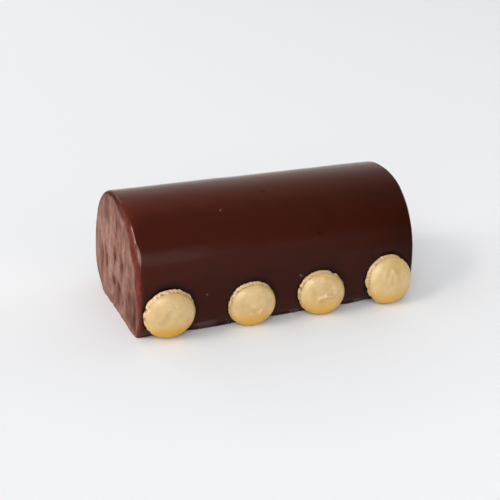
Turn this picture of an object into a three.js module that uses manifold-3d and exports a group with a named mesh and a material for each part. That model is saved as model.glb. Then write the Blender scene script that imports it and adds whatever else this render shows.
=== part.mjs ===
// A chocolate-glazed yule log cake with four macaron shells along the foot of its front side.
// Millimetres. X runs along the log, -Y is the front that carries the shells, and +Z is up.
// The origin is in the middle of the log's length and width, on the surface that it stands on.
import * as THREE from "three";
import { mergeVertices } from "three/addons/utils/BufferGeometryUtils.js";
import Module from "manifold-3d";

const wasm = await Module();
wasm.setup();

// The log: a round-backed loaf on a flat base that is narrower than its belly.
const LOG_LENGTH = 180;
const LOG_HEIGHT = 74.4;
const HALF_WIDTH = 47.1; // at the belly
const BELLY_HEIGHT = 20.3; // of the widest line above the base
const BASE_FRONT = 40; // from the middle of the log to the base's front edge
const BASE_BACK = 31;
const ARCH_POWER = 2.2; // 2 is a true ellipse, and more is squarer at the shoulders
const TUCK_POWER = 2.5; // how late the side turns in towards the base
const END_ROUND_BACK = 2.4; // how far the rounding of an end reaches in from the side
const END_ROUND_FRONT = 5.6;
const LEFT_EDGE_OUT = 0.8; // how far the left end's edge stands out at the front
const END_BULGE = 0.9; // how far the middle of an end face stands out
// The rounding turns in a little, rests on a narrow slant, drops, and eases over to the face.
// Each row is a share of the way round and the degrees that the surface has turned by then.
const RIM_TURNS = [
  [0, 0],
  [0.13, 35],
  [0.28, 41],
  [0.34, 80],
  [0.6, 87],
  [1, 90],
];

// Steps of the log's mesh.
const ARCH_STEPS = 44;
const TUCK_STEPS = 8;
const TUCK_CROWDING = 1.6; // above 1 the steps are closer together near the base
const BASE_STEPS = 8;
const LENGTH_STEPS = 18;
const ROUND_STEPS = [0, 0.07, 0.13, 0.28, 0.34, 0.6, 1]; // shares of the way to the face
const END_RINGS = 10;
const ROUND_MARGIN = 2; // from the rounded ends to the first whole section

// Dimples in the glaze over the cut cake of the end faces. They run up and down.
const DIMPLES_PER_END = 16;
const DIMPLE_DEPTH = [0.16, 0.38];
const DIMPLE_HALF_WIDTH = [3.2, 5];
const DIMPLE_HALF_HEIGHT = [5.5, 10];
const DIMPLE_SEED = 7;

// The glaze that has run down stands round the base as a low foot, wider where it has pooled.
const FOOT_WIDTH = 0.6;
const FOOT_HEIGHT = 2.6;
const FOOT_CORNER = 9; // rounding of the foot's outline, seen from above
const FOOT_POOLS = [
  { x: -46, y: -42, reach: 14, width: 1.9, height: 1.9 },
  { x: 2, y: -42, reach: 10, width: 0.8, height: 0.5 },
  { x: 47, y: -42, reach: 9, width: 1.0, height: 0.7 },
  { x: 30, y: 33, reach: 22, width: 1.1, height: 0.8 },
];

// The macaron shells: place along the log, height of the middle, size, and how each one leans.
// A positive lean turns the dome up, and a positive turn swings it towards +X. Each outline is
// oval by a share of its radius, with its long way at an angle from the level, in degrees.
const SHELLS = [
  { x: -73.6, z: 16.9, radius: 15.7, height: 7.7, lean: -6.3, turn: 0, oval: 0.013, ovalTurn: -27 },
  { x: -21.5, z: 14.7, radius: 14.7, height: 7.1, lean: -3.4, turn: -1.8, oval: 0.032, ovalTurn: -12 },
  { x: 24.7, z: 14.9, radius: 15.0, height: 7.2, lean: 1.9, turn: -1.8, oval: 0.06, ovalTurn: -21 },
  { x: 71.4, z: 16.5, radius: 15.9, height: 7.7, lean: 6, turn: -0.2, oval: 0.012, ovalTurn: -48 },
];
const SHELL_PRESS = 1.1; // how deep each back is pressed into the glaze
const SHELL_GAP = 0.3; // left between a shell and the log
const POCKET_DEPTH = 14; // of the tool that cuts the pressed place, past the log's side
const SHELL_SECTORS = 44;
const FOOT_RUFFLE = 0.028; // unevenness of a shell's frilled foot, as a share of its radius
const SHELL_SEED = 31;
// A shell from its back rim to the edge of its dome: share of the radius, then of the height.
const SHELL_RIM = [
  [0.95, 0.0, 0.4],
  [0.99, 0.04, 0.8],
  [1.0, 0.11, 1.0],
  [0.995, 0.2, 1.0],
  [0.97, 0.3, 0.7],
  [0.95, 0.37, 0.3],
  [0.962, 0.43, 0.1],
];
const DOME_RINGS = 8;
const DOME_FLATNESS = 3.4; // 2 gives an even dome, and more a flat top and a round shoulder
const DOME_SHOULDER = 0.68;

const GLAZE = new THREE.MeshStandardMaterial({ color: 0x3a1710, roughness: 0.22, metalness: 0 });
const SHELL_CRUST = new THREE.MeshStandardMaterial({ color: 0xe0c08c, roughness: 0.6, metalness: 0 });

// A repeatable draw of numbers from 0 to 1.
function drawer(seed) {
  let state = seed >>> 0;
  return () => {
    state = (Math.imul(state, 1664525) + 1013904223) >>> 0;
    return state / 2 ** 32;
  };
}

const between = ([low, high], share) => low + (high - low) * share;

// Half the log's width at a height, on the front side (side -1) or the back (side +1).
function halfWidthAt(z, side) {
  if (z >= BELLY_HEIGHT) {
    const up = Math.min(1, (z - BELLY_HEIGHT) / (LOG_HEIGHT - BELLY_HEIGHT));
    return HALF_WIDTH * (1 - up ** ARCH_POWER) ** (1 / ARCH_POWER);
  }
  const base = side < 0 ? BASE_FRONT : BASE_BACK;
  const down = (BELLY_HEIGHT - z) / BELLY_HEIGHT;
  return HALF_WIDTH - (HALF_WIDTH - base) * down ** TUCK_POWER;
}

// The log's closed outline as [y, z] points: up the back, over the front, and along the base.
function logOutline() {
  const outline = [];
  for (let i = 0; i < TUCK_STEPS; i++) {
    const z = BELLY_HEIGHT * (i / TUCK_STEPS) ** TUCK_CROWDING;
    outline.push([halfWidthAt(z, 1), z]);
  }
  for (let i = 0; i <= ARCH_STEPS; i++) {
    const angle = (Math.PI * i) / ARCH_STEPS;
    const across = Math.abs(Math.cos(angle)) ** (2 / ARCH_POWER) * Math.sign(Math.cos(angle));
    const up = Math.sin(angle) ** (2 / ARCH_POWER);
    outline.push([HALF_WIDTH * across, BELLY_HEIGHT + (LOG_HEIGHT - BELLY_HEIGHT) * up]);
  }
  for (let i = TUCK_STEPS - 1; i >= 0; i--) {
    const z = BELLY_HEIGHT * (i / TUCK_STEPS) ** TUCK_CROWDING;
    outline.push([-halfWidthAt(z, -1), z]);
  }
  for (let i = 1; i < BASE_STEPS; i++) {
    outline.push([-BASE_FRONT + ((BASE_BACK + BASE_FRONT) * i) / BASE_STEPS, 0]);
  }
  return outline;
}

// The outward direction at each point of the outline. It never points down, so the base stays flat.
function outlineNormals(outline) {
  return outline.map((_, i) => {
    const before = outline[(i + outline.length - 1) % outline.length];
    const after = outline[(i + 1) % outline.length];
    const along = new THREE.Vector2(after[0] - before[0], after[1] - before[1]).normalize();
    return [along.y, Math.max(0, -along.x)];
  });
}

// How far the glaze of an end face stands in or out at a point: a slight bulge with dimples in it.
function endRelief(seed) {
  const draw = drawer(seed);
  const dimples = Array.from({ length: DIMPLES_PER_END }, () => ({
    y: between([-0.86, 0.86], draw()) * HALF_WIDTH,
    z: between([0.05, 0.93], draw()) * LOG_HEIGHT,
    halfWidth: between(DIMPLE_HALF_WIDTH, draw()),
    halfHeight: between(DIMPLE_HALF_HEIGHT, draw()),
    depth: between(DIMPLE_DEPTH, draw()),
  }));
  return (y, z, share) => {
    let out = END_BULGE * (1 - share * share);
    for (const d of dimples) {
      const away = ((y - d.y) / d.halfWidth) ** 2 + ((z - d.z) / d.halfHeight) ** 2;
      out -= d.depth * Math.exp(-away) * (1 - share ** 6);
    }
    return out;
  };
}

// Moves a point near the base outwards, so that the glaze's foot flares all round it.
function flareFoot([x, y, z]) {
  let width = FOOT_WIDTH;
  let height = FOOT_HEIGHT;
  for (const pool of FOOT_POOLS) {
    const near = Math.exp(-(((x - pool.x) / pool.reach) ** 2) - ((y - pool.y) / pool.reach) ** 2);
    width += pool.width * near;
    height += pool.height * near;
  }
  if (z >= height) return [x, y, z];
  const middle = (BASE_BACK - BASE_FRONT) / 2;
  const reachX = LOG_LENGTH / 2 - FOOT_CORNER;
  const reachY = (BASE_BACK + BASE_FRONT) / 2 - FOOT_CORNER;
  const awayX = Math.max(0, Math.abs(x) - reachX);
  const awayY = Math.max(0, Math.abs(y - middle) - reachY);
  const away = Math.hypot(awayX, awayY);
  if (away === 0) return [x, y, z];
  const out = width * (1 - z / height) ** 2 * Math.min(1, away / FOOT_CORNER);
  return [
    x + (Math.sign(x) * awayX * out) / away,
    y + (Math.sign(y - middle) * awayY * out) / away,
    z,
  ];
}

// Joins rings of equal length into one closed skin, with a single point at each end.
function skin(firstPoint, rings, lastPoint) {
  const count = rings[0].length;
  const positions = [firstPoint, ...rings.flat(), lastPoint].flat();
  const last = positions.length / 3 - 1;
  const at = (ring, i) => 1 + ring * count + (i % count);
  const faces = [];
  for (let i = 0; i < count; i++) {
    faces.push(0, at(0, i + 1), at(0, i));
    faces.push(last, at(rings.length - 1, i), at(rings.length - 1, i + 1));
    for (let ring = 0; ring < rings.length - 1; ring++) {
      faces.push(at(ring, i), at(ring, i + 1), at(ring + 1, i + 1));
      faces.push(at(ring, i), at(ring + 1, i + 1), at(ring + 1, i));
    }
  }
  const geometry = new THREE.BufferGeometry();
  geometry.setAttribute("position", new THREE.Float32BufferAttribute(positions, 3));
  geometry.setIndex(faces);
  return geometry;
}

// The degrees that the rounding has turned at a share of the way round.
function turnAt(share) {
  const next = RIM_TURNS.findIndex(([stop]) => stop >= share);
  if (next <= 0) return RIM_TURNS[0][1];
  const [[low, turnLow], [high, turnHigh]] = [RIM_TURNS[next - 1], RIM_TURNS[next]];
  return turnLow + ((turnHigh - turnLow) * (share - low)) / (high - low);
}

// The rounding of an end at a share of the way round: how far it has gone towards the end and
// inwards, both as shares of its whole reach inwards.
function roundingAt(share) {
  const count = 400;
  let towardsEnd = 0;
  let inwards = 0;
  let here = [0, 0];
  for (let i = 0; i < count; i++) {
    const t = (i + 0.5) / count;
    if (t < share) here = [towardsEnd, inwards];
    const turned = THREE.MathUtils.degToRad(turnAt(t));
    towardsEnd += Math.cos(turned);
    inwards += Math.sin(turned);
  }
  if (share === 1) here = [towardsEnd, inwards];
  return { towardsEnd: here[0] / inwards, inwards: here[1] / inwards };
}

function logGeometry() {
  const outline = logOutline();
  const normals = outlineNormals(outline);
  const core = [0, LOG_HEIGHT * 0.44];
  const frontness = outline.map(([y]) => (1 - y / HALF_WIDTH) / 2);
  const rounding = frontness.map((front) => between([END_ROUND_BACK, END_ROUND_FRONT], front));

  // The rings of one end, from its rounded edge to its middle.
  const endRings = (side, relief) => {
    const edgeHeight = side < 0 ? LEFT_EDGE_OUT : 0;
    const edgeOut = frontness.map((front) => edgeHeight * front * front * (3 - 2 * front));
    const rings = ROUND_STEPS.map((share) => {
      const { towardsEnd, inwards } = roundingAt(share);
      const depth = roundingAt(1).towardsEnd - towardsEnd;
      return outline.map(([y, z], i) => [
        side * (LOG_LENGTH / 2 + edgeOut[i] - rounding[i] * depth),
        y - normals[i][0] * rounding[i] * inwards,
        z - normals[i][1] * rounding[i] * inwards,
      ]);
    });
    const edge = rings[rings.length - 1];
    for (let step = 1; step < END_RINGS; step++) {
      const share = 1 - step / END_RINGS;
      rings.push(
        edge.map(([, y, z], i) => {
          const ringY = core[0] + (y - core[0]) * share;
          const ringZ = core[1] + (z - core[1]) * share;
          const out = edgeOut[i] * share * share + relief(ringY, ringZ, share);
          return [side * (LOG_LENGTH / 2 + out), ringY, ringZ];
        }),
      );
    }
    return rings;
  };

  const leftRelief = endRelief(DIMPLE_SEED);
  const rightRelief = endRelief(DIMPLE_SEED + 1);
  const left = endRings(-1, leftRelief).reverse();
  const right = endRings(1, rightRelief);
  const straight = LOG_LENGTH - 2 * (END_ROUND_FRONT + ROUND_MARGIN);
  const middle = [];
  for (let step = 0; step <= LENGTH_STEPS; step++) {
    const x = straight * (step / LENGTH_STEPS - 0.5);
    middle.push(outline.map(([y, z]) => [x, y, z]));
  }
  const rings = [...left, ...middle, ...right].map((ring) => ring.map(flareFoot));
  const leftMiddle = [-LOG_LENGTH / 2 - leftRelief(...core, 0), ...core];
  const rightMiddle = [LOG_LENGTH / 2 + rightRelief(...core, 0), ...core];
  return skin(leftMiddle, rings, rightMiddle);
}

// The unevenness round a shell's foot: a few waves of drawn height and place.
function ruffleAround(seed) {
  const draw = drawer(seed);
  const waves = [5, 9, 13, 17].map((count) => ({
    count,
    start: draw() * 2 * Math.PI,
    height: between([0.25, 0.6], draw()),
  }));
  return (angle, row) =>
    waves.reduce((sum, w) => sum + w.height * Math.sin(w.count * angle + w.start + row * 0.9), 0);
}

// A shell's outline: the distance from its middle to its rim at an angle.
function shellReach({ radius, oval, ovalTurn }, angle) {
  return radius * (1 + oval * Math.cos(2 * (angle - THREE.MathUtils.degToRad(ovalTurn))));
}

// A macaron shell in its own frame: flat back on the XY plane, dome towards +Z.
function shellGeometry(shell, seed) {
  const { height } = shell;
  const ruffle = ruffleAround(seed);
  const ringAt = (share, rise, unevenness, row) => {
    const ring = [];
    for (let i = 0; i < SHELL_SECTORS; i++) {
      const angle = (2 * Math.PI * i) / SHELL_SECTORS;
      const frill = FOOT_RUFFLE * unevenness * ruffle(angle, row) * 0.6;
      const reach = shellReach(shell, angle) * (share + frill);
      ring.push([reach * Math.cos(angle), reach * Math.sin(angle), height * rise]);
    }
    return ring;
  };
  const rings = [ringAt(0.6, 0, 0, 0)];
  SHELL_RIM.forEach(([share, rise, unevenness], row) => {
    rings.push(ringAt(share, rise, unevenness, row));
  });
  const [domeShare, domeRise] = SHELL_RIM[SHELL_RIM.length - 1];
  for (let step = 1; step < DOME_RINGS; step++) {
    const inner = Math.cos((Math.PI / 2) * (step / DOME_RINGS));
    const crown = (1 - inner ** DOME_FLATNESS) ** DOME_SHOULDER;
    const rise = domeRise + (1 - domeRise) * crown;
    rings.push(ringAt(domeShare * inner, rise, 0.25 * (1 - step / DOME_RINGS), 6));
  }
  return skin([0, 0, 0], rings, [0, 0, height]);
}

// Where a shell sits: its back is pressed a little way into the part of the log that stands out most.
function shellMatrix({ x, z, radius, lean, turn }) {
  const tilt = THREE.MathUtils.degToRad(lean);
  const swing = THREE.MathUtils.degToRad(turn);
  const out = new THREE.Vector3(
    Math.sin(swing) * Math.cos(tilt),
    -Math.cos(swing) * Math.cos(tilt),
    Math.sin(tilt),
  );
  const across = new THREE.Vector3(Math.cos(swing), Math.sin(swing), 0);
  const up = new THREE.Vector3().crossVectors(out, across);
  const middle = new THREE.Vector3(x, -halfWidthAt(z, -1), z);
  let standsOut = 0;
  for (const [y, height] of logOutline()) {
    const reach = (height - z) / Math.max(0.1, up.z);
    if (y >= 0 || Math.abs(reach) > radius) continue;
    const side = new THREE.Vector3(x, y, height).sub(middle);
    standsOut = Math.max(standsOut, side.dot(out));
  }
  middle.addScaledVector(out, standsOut - SHELL_PRESS);
  return new THREE.Matrix4().makeBasis(across, up, out).setPosition(middle);
}

function toSolid(geometry) {
  const bare = geometry.clone();
  bare.deleteAttribute("normal");
  bare.deleteAttribute("uv");
  const merged = mergeVertices(bare, 1e-4);
  return new wasm.Manifold(
    new wasm.Mesh({
      numProp: 3,
      vertProperties: new Float32Array(merged.attributes.position.array),
      triVerts: new Uint32Array(merged.index.array),
    }),
  );
}

function toGeometry(solid) {
  const { vertProperties, triVerts } = solid.getMesh();
  const geometry = new THREE.BufferGeometry();
  geometry.setAttribute("position", new THREE.BufferAttribute(vertProperties, 3));
  geometry.setIndex(new THREE.BufferAttribute(triVerts, 1));
  geometry.computeVertexNormals();
  return geometry;
}

// The pocket that a shell has pressed into the glaze, a gap larger than the shell's own back.
function pocketGeometry(shell) {
  const ringAt = (z) =>
    Array.from({ length: SHELL_SECTORS }, (_, i) => {
      const angle = (2 * Math.PI * i) / SHELL_SECTORS;
      const reach = shellReach(shell, angle) + SHELL_GAP;
      return [reach * Math.cos(angle), reach * Math.sin(angle), z];
    });
  const back = -SHELL_GAP;
  const front = POCKET_DEPTH - SHELL_GAP;
  return skin([0, 0, back], [ringAt(back), ringAt(front)], [0, 0, front]);
}

const cake = new THREE.Group();

let log = toSolid(logGeometry());
for (const shell of SHELLS) {
  const pocket = pocketGeometry(shell).applyMatrix4(shellMatrix(shell));
  log = log.subtract(toSolid(pocket));
}
const logMesh = new THREE.Mesh(toGeometry(log), GLAZE);
logMesh.name = "glazed_log";
cake.add(logMesh);

SHELLS.forEach((shell, i) => {
  const mesh = new THREE.Mesh(shellGeometry(shell, SHELL_SEED + i), SHELL_CRUST);
  mesh.name = `macaron_shell_${i + 1}`;
  mesh.applyMatrix4(shellMatrix(shell));
  cake.add(mesh);
});

export default cake;
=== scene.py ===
# %% [markdown]
# # A glazed yule log cake
# The cake is a long loaf with a round back, covered in dark chocolate glaze. Four pale macaron
# shells lean against the foot of its front side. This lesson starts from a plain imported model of
# the cake, and builds the surfaces that one sees: the glaze with its dimpled ends, and the shells
# with their frilled feet. Everything is in metres. X runs along the log, -Y is the front, +Z is up.

import math

import bpy
import numpy as np
from mathutils import Matrix, Vector


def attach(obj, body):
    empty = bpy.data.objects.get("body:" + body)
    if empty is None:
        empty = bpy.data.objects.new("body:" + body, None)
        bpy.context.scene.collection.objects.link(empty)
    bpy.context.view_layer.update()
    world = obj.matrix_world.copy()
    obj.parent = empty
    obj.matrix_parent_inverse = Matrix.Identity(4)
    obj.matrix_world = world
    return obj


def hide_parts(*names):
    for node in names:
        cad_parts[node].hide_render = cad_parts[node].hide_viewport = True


MM = 0.001


def in_mm(lengths):
    return (np.array(lengths) / MM).round(2).tolist()


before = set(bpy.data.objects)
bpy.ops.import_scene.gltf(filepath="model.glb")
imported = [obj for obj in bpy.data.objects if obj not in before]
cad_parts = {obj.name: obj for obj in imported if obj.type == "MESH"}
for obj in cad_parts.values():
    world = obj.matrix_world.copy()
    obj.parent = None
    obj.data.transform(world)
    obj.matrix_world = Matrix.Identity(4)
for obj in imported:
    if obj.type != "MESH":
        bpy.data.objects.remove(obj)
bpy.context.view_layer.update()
scene = bpy.context.scene
print("packed nodes:", sorted(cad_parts))

# %% [markdown]
# ## The camera
# The camera comes first, because every later choice is judged through it. A long lens keeps the
# log's far end nearly as large as its near end. The place, the turn and the slight roll come from
# matching the log's outline, so they are written as angles that can be read and changed.

# %% Place the camera
CAMERA_PLACE = (-0.2580, -0.5569, 0.2901)
LENS_MM = 75.58
SENSOR_MM = 36.0
AZIMUTH_DEG = 24.66
PITCH_DOWN_DEG = 23.22
ROLL_DEG = 2.18


def new_object(name, data):
    """A new object in the scene, around a camera, a light or a mesh."""
    thing = bpy.data.objects.new(name, data)
    scene.collection.objects.link(thing)
    return thing


def rotation(degrees, axis):
    return Matrix.Rotation(math.radians(degrees), 4, axis)


camera_data = bpy.data.cameras.new("camera")
camera_data.lens = LENS_MM
camera_data.sensor_width = SENSOR_MM
camera_data.clip_start = 10 * MM
camera = new_object("camera", camera_data)
# A camera looks down. It is rolled, tipped up to its pitch, and then turned from the Y axis.
tipped = rotation(90.0 - PITCH_DOWN_DEG, "X") @ rotation(ROLL_DEG, "Z")
camera.matrix_world = rotation(-AZIMUTH_DEG, "Z") @ tipped
camera.location = CAMERA_PLACE
scene.camera = camera
print("camera looks along", [-round(v, 3) for v in camera.matrix_world.col[2][:3]])

# %% [markdown]
# ## Helpers for uneven surfaces
# Food is never quite even. Two small tools give that unevenness: smooth noise, which is random
# heights on a lattice with soft steps between them, and a closed skin that joins rings of points.
# Both work on whole arrays at once, because the log alone has some ninety thousand points.

# %% Smooth noise on arrays of points
# Large odd numbers that scramble x, y, z and the seed.
SCRAMBLE = np.array([374761393, 668265263, 1440662683, 1274126177])
LOW_32_BITS, LOW_16_BITS = 0xFFFFFFFF, 0xFFFF


def eased(value, low=0.0, high=1.0):
    """0 below low, 1 above high, and a soft step between them."""
    share = np.clip((value - low) / (high - low), 0.0, 1.0)
    return share * share * (3.0 - 2.0 * share)


def lattice_height(spot, seed):
    """A repeatable height from -1 to 1 for each whole-numbered lattice point."""
    mixed = (spot @ SCRAMBLE[:3] + seed * SCRAMBLE[3]) & LOW_32_BITS
    mixed = ((mixed ^ (mixed >> 13)) * SCRAMBLE[3]) & LOW_32_BITS
    return 2.0 * ((mixed ^ (mixed >> 16)) & LOW_16_BITS) / LOW_16_BITS - 1.0


def soft_noise(points, size, seed):
    """Smooth heights from about -1 to 1 that change over `size`, at an array of points."""
    scaled = points / np.array(size)
    low = np.floor(scaled).astype(np.int64)
    part = eased(scaled - low)
    total = np.zeros(scaled.shape[:-1])
    for corner in range(8):
        step = np.array([corner & 1, corner >> 1 & 1, corner >> 2 & 1])
        weight = np.prod(np.where(step == 1, part, 1.0 - part), axis=-1)
        total += weight * lattice_height(low + step, seed)
    return total


def bell(value):
    return np.exp(-(value**2))


def with_noise(values, points, layers, share=1.0, first_seed=0):
    """Values with layers of noise added, each given as a strength, a size and a seed."""
    for strength, size, seed in layers:
        values = values + strength * soft_noise(points, size, first_seed + seed) * share
    return values


print("noise at three places:", soft_noise(np.eye(3), 0.7, 3).round(2))

# %% Skin rings of points into closed meshes
def skin_rings(name, *skins):
    """One piece of closed skins, each given as its rings and the single point at either end."""
    points, faces = [], []
    for rings, first_point, last_point in skins:
        count, around = rings.shape[:2]
        first, last = len(points), len(points) + count * around + 1
        index = first + 1 + np.arange(count * around).reshape(count, around)
        next_one = np.roll(index, -1, axis=1)
        sides = np.stack([index[:-1], next_one[:-1], next_one[1:], index[1:]], axis=-1)
        faces += sides.reshape(-1, 4).tolist()
        faces += [(first, int(b), int(a)) for a, b in zip(index[0], next_one[0])]
        faces += [(last, int(a), int(b)) for a, b in zip(index[-1], next_one[-1])]
        points += np.concatenate([[first_point], rings.reshape(-1, 3), [last_point]]).tolist()
    mesh = bpy.data.meshes.new(name)
    mesh.from_pydata(points, [], faces)
    mesh.polygons.foreach_set("use_smooth", [True] * len(mesh.polygons))
    mesh.update()
    print(name, "has", len(points), "points")
    return new_object(name, mesh)


def store_shares(piece, name, values, at_tips=0.0):
    """Keeps a number from 0 to 1 at each ring point and at the tips, for the material to read."""
    shares = np.full(len(piece.data.vertices), at_tips, np.float32)
    shares[1:-1] = np.ravel(values)
    piece.data.attributes.new(name, "FLOAT", "POINT").data.foreach_set("value", shares)

# %% [markdown]
# ## The log's section
# The cake was set in a half-round mould and turned out, so its section is an arch on a flat base.
# A true half circle is too pointed: the shoulders are a little fuller, which a power of 2.2 in
# place of 2 gives. Below its belly the side turns in towards a narrower base.

# %% Dimensions of the section
LOG_LENGTH = 180 * MM
LOG_HEIGHT = 74.4 * MM
HALF_WIDTH = 47.1 * MM
BELLY_HEIGHT = 20.3 * MM
BASE_FRONT = 40 * MM
BASE_BACK = 31 * MM
ARCH_POWER = 2.2
TUCK_POWER = 2.5


def half_width_at(z, base):
    """Half the log's width at a height, over a base edge that is `base` from the middle."""
    rise = np.clip((z - BELLY_HEIGHT) / (LOG_HEIGHT - BELLY_HEIGHT), 0.0, 1.0)
    arch = HALF_WIDTH * (1.0 - rise**ARCH_POWER) ** (1.0 / ARCH_POWER)
    drop = np.clip((BELLY_HEIGHT - z) / BELLY_HEIGHT, 0.0, 1.0)
    tuck = HALF_WIDTH - (HALF_WIDTH - base) * drop**TUCK_POWER
    return np.where(z >= BELLY_HEIGHT, arch, tuck)


print("half width 40 mm up:", in_mm(half_width_at(40 * MM, BASE_FRONT)), "mm")

# %% Walk round the section
SECTION_POINTS = 270
BASE_CROWDING = 0.45  # the base is flat, so its steps may be about twice as long
# The section is drawn with many more steps than it keeps, so that the kept ones are even.
ARCH_STEPS, TUCK_STEPS, BASE_STEPS = 1200, 200, 299


def section_outline():
    """Steps round the section, up the back and over to the front: place and outward way."""
    angle = np.linspace(0.0, math.pi, ARCH_STEPS + 1)
    across = np.sign(np.cos(angle)) * np.abs(np.cos(angle)) ** (2.0 / ARCH_POWER)
    up = np.sin(angle) ** (2.0 / ARCH_POWER)
    arch = np.stack([HALF_WIDTH * across, BELLY_HEIGHT + (LOG_HEIGHT - BELLY_HEIGHT) * up], -1)
    low = np.linspace(0.0, BELLY_HEIGHT, TUCK_STEPS, endpoint=False)
    back = np.stack([half_width_at(low, BASE_BACK), low], -1)
    front = np.stack([-half_width_at(low, BASE_FRONT), low], -1)[::-1]
    base_y = np.linspace(-BASE_FRONT, BASE_BACK, BASE_STEPS + 1)[1:-1]
    dense = np.concatenate([back, arch, front, np.stack([base_y, 0.0 * base_y], -1)])
    closed = np.concatenate([dense, dense[:1]])
    steps = np.linalg.norm(np.diff(closed, axis=0), axis=1)
    on_base = np.arange(len(steps)) >= len(dense) - BASE_STEPS
    walked = np.concatenate([[0.0], np.cumsum(np.where(on_base, BASE_CROWDING, 1.0) * steps)])
    stops = np.linspace(0.0, walked[-1], SECTION_POINTS, endpoint=False)
    outline = np.stack([np.interp(stops, walked, closed[:, k]) for k in (0, 1)], -1)
    along = np.roll(outline, -1, axis=0) - np.roll(outline, 1, axis=0)
    along /= np.linalg.norm(along, axis=1, keepdims=True)
    outward = np.stack([along[:, 1], -along[:, 0]], -1)
    return outline, outward


outline, outward = section_outline()
outline_y, outline_z = outline.T
print("the section's steps are about", in_mm(np.linalg.norm(outline[1] - outline[0])), "mm long")

# %% [markdown]
# ## The ends of the log
# The ends are cut faces under a thin coat, so the crumb shows through as soft lumps and small
# pits that run up and down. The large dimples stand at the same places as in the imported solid,
# because both draw them with the same plain counter. Pits, lumps and a fine grain are added here.
# Height is kept as a function of the place on the face, so colour can follow it later.

# %% Draw the dimples and pits
# Ranges of a hollow's y, z, half width, half height and depth, each with its unit.
DIMPLE_RANGES = [(-0.86, 0.86, HALF_WIDTH), (0.05, 0.93, LOG_HEIGHT),
                 (3.2, 5.0, MM), (5.5, 10.0, MM), (0.16, 0.38, MM)]
PIT_RANGES = [(-0.84, 0.84, HALF_WIDTH), (0.04, 0.92, LOG_HEIGHT),
              (0.8, 1.5, MM), (1.5, 3.2, MM), (0.10, 0.38, MM)]
DIMPLE_COUNT = 16
PITS_LOW_DOWN = 1.5  # a power above 1 puts more of the pits low down
# The plainest pits of the left end, listed one by one: y, z, half width, half height, depth in mm.
CLEAR_PITS_MM = [
    (19.2, 25.5, 1.5, 4.6, 0.8), (2.1, 34.0, 1.2, 2.4, 0.6), (4.6, 17.6, 1.7, 2.3, 1.1),
    (-5.4, 17.4, 2.0, 2.8, 0.9), (-10.9, 33.2, 2.0, 3.6, 0.4), (22.2, 32.2, 1.4, 2.2, 0.5),
    (-1.7, 48.8, 1.8, 3.0, 0.3), (14.2, 8.8, 1.8, 2.4, 0.5), (-12.7, 10.2, 1.6, 2.2, 0.5),
]


def between(low, high, share):
    return low + (high - low) * share


def plain_draws(seed):
    """The repeatable draw of numbers from 0 to 1 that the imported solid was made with."""
    state = seed
    while True:
        state = (state * 1664525 + 1013904223) % 2**32
        yield state / 2**32


def drawn_hollows(seed, count, ranges, low_down=1.0):
    """Hollows of one end as rows of y, z, half width, half height and depth."""
    draw = plain_draws(seed)
    rows = []
    for _ in range(count):
        shares = [next(draw) for _ in ranges]
        shares[1] = shares[1] ** low_down
        rows.append([between(low, high, share) * unit
                     for (low, high, unit), share in zip(ranges, shares)])
    return rows


HOLLOWS = {side: drawn_hollows(seed, DIMPLE_COUNT, DIMPLE_RANGES)
           + drawn_hollows(10 * seed, pit_count, PIT_RANGES, PITS_LOW_DOWN)
           for side, seed, pit_count in ((-1, 7, 24), (1, 8, 34))}
clear_pits = (np.array(CLEAR_PITS_MM) * MM).tolist()
HOLLOWS[-1] += clear_pits
print("dimples and pits on each end:", [len(rows) for rows in HOLLOWS.values()])

# %% Heights of an end face
END_BULGE = 0.9 * MM
LUMP_HEIGHT = 0.26 * MM
GRAIN_HEIGHT = 0.07 * MM
GRAIN_LEAN = 0.12  # the crumb's grain leans a little from upright
# Layers of lumps and grain: strength, size along x, y and z, and seed.
END_LAYERS = [
    (LUMP_HEIGHT, (1.0, 0.0038, 0.0120), 21),
    (0.6 * LUMP_HEIGHT, (1.0, 0.0021, 0.0064), 22),
    (GRAIN_HEIGHT, (1.0, 0.0013, 0.0024), 23),
]


def soft_spot(a, b, place_a, place_b, reach_a, reach_b):
    """1 at a place in two coordinates, fading to 0 beyond its reach in each."""
    return np.exp(-(((a - place_a) / reach_a) ** 2) - ((b - place_b) / reach_b) ** 2)


def end_height(side, y, z, share, edge_height):
    """How far an end's surface stands out at y, z. share is 0 in the middle, 1 at the edge."""
    out = END_BULGE * (1.0 - share**2) + edge_height * share**2
    fade = 1.0 - share**6
    for *hollow, depth in HOLLOWS[side]:
        out = out - depth * soft_spot(y, z, *hollow) * fade
    points = np.stack([np.full_like(y, side * 0.5), y + GRAIN_LEAN * z, z], -1)
    return with_noise(out, points, END_LAYERS, fade)


print("the deepest hollow is", in_mm(max(depth for *_, depth in HOLLOWS[-1])), "mm deep")

# %% [markdown]
# ## The rim between side and end
# Glaze runs off an edge and leaves a crisp crest close to the end, with a slow fall behind it
# that is wider at the front. So the rim isn't a quarter circle: it turns in a little, rests for a
# millimetre on a narrow slant that catches the light, drops, and then eases over to the end face.

# %% Profile of the rim
END_ROUND_BACK = 2.4 * MM
END_ROUND_FRONT = 5.6 * MM
# Share of the way round, and the degrees that the surface has turned by then.
RIM_TURNS = [(0.0, 0.0), (0.13, 35.0), (0.28, 41.0), (0.34, 80.0), (0.6, 87.0), (1.0, 90.0)]
# Where glaze has gathered on the edge the slant is longer and gentler.
SOFT_TURNS = [(0.0, 0.0), (0.08, 15.0), (0.38, 34.0), (0.46, 80.0), (0.7, 87.0), (1.0, 90.0)]
SOFT_RIM_Z, SOFT_RIM_REACH = 51.5 * MM, 4.8 * MM
RIM_STOPS = [0.0, 0.03, 0.06, 0.09, 0.11, 0.13, 0.16, 0.20, 0.24, 0.28, 0.295, 0.31, 0.325, 0.34,
             0.38, 0.42, 0.46, 0.50, 0.54, 0.60, 0.72, 0.86, 1.0]
FINE_STOPS = 2001


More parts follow.
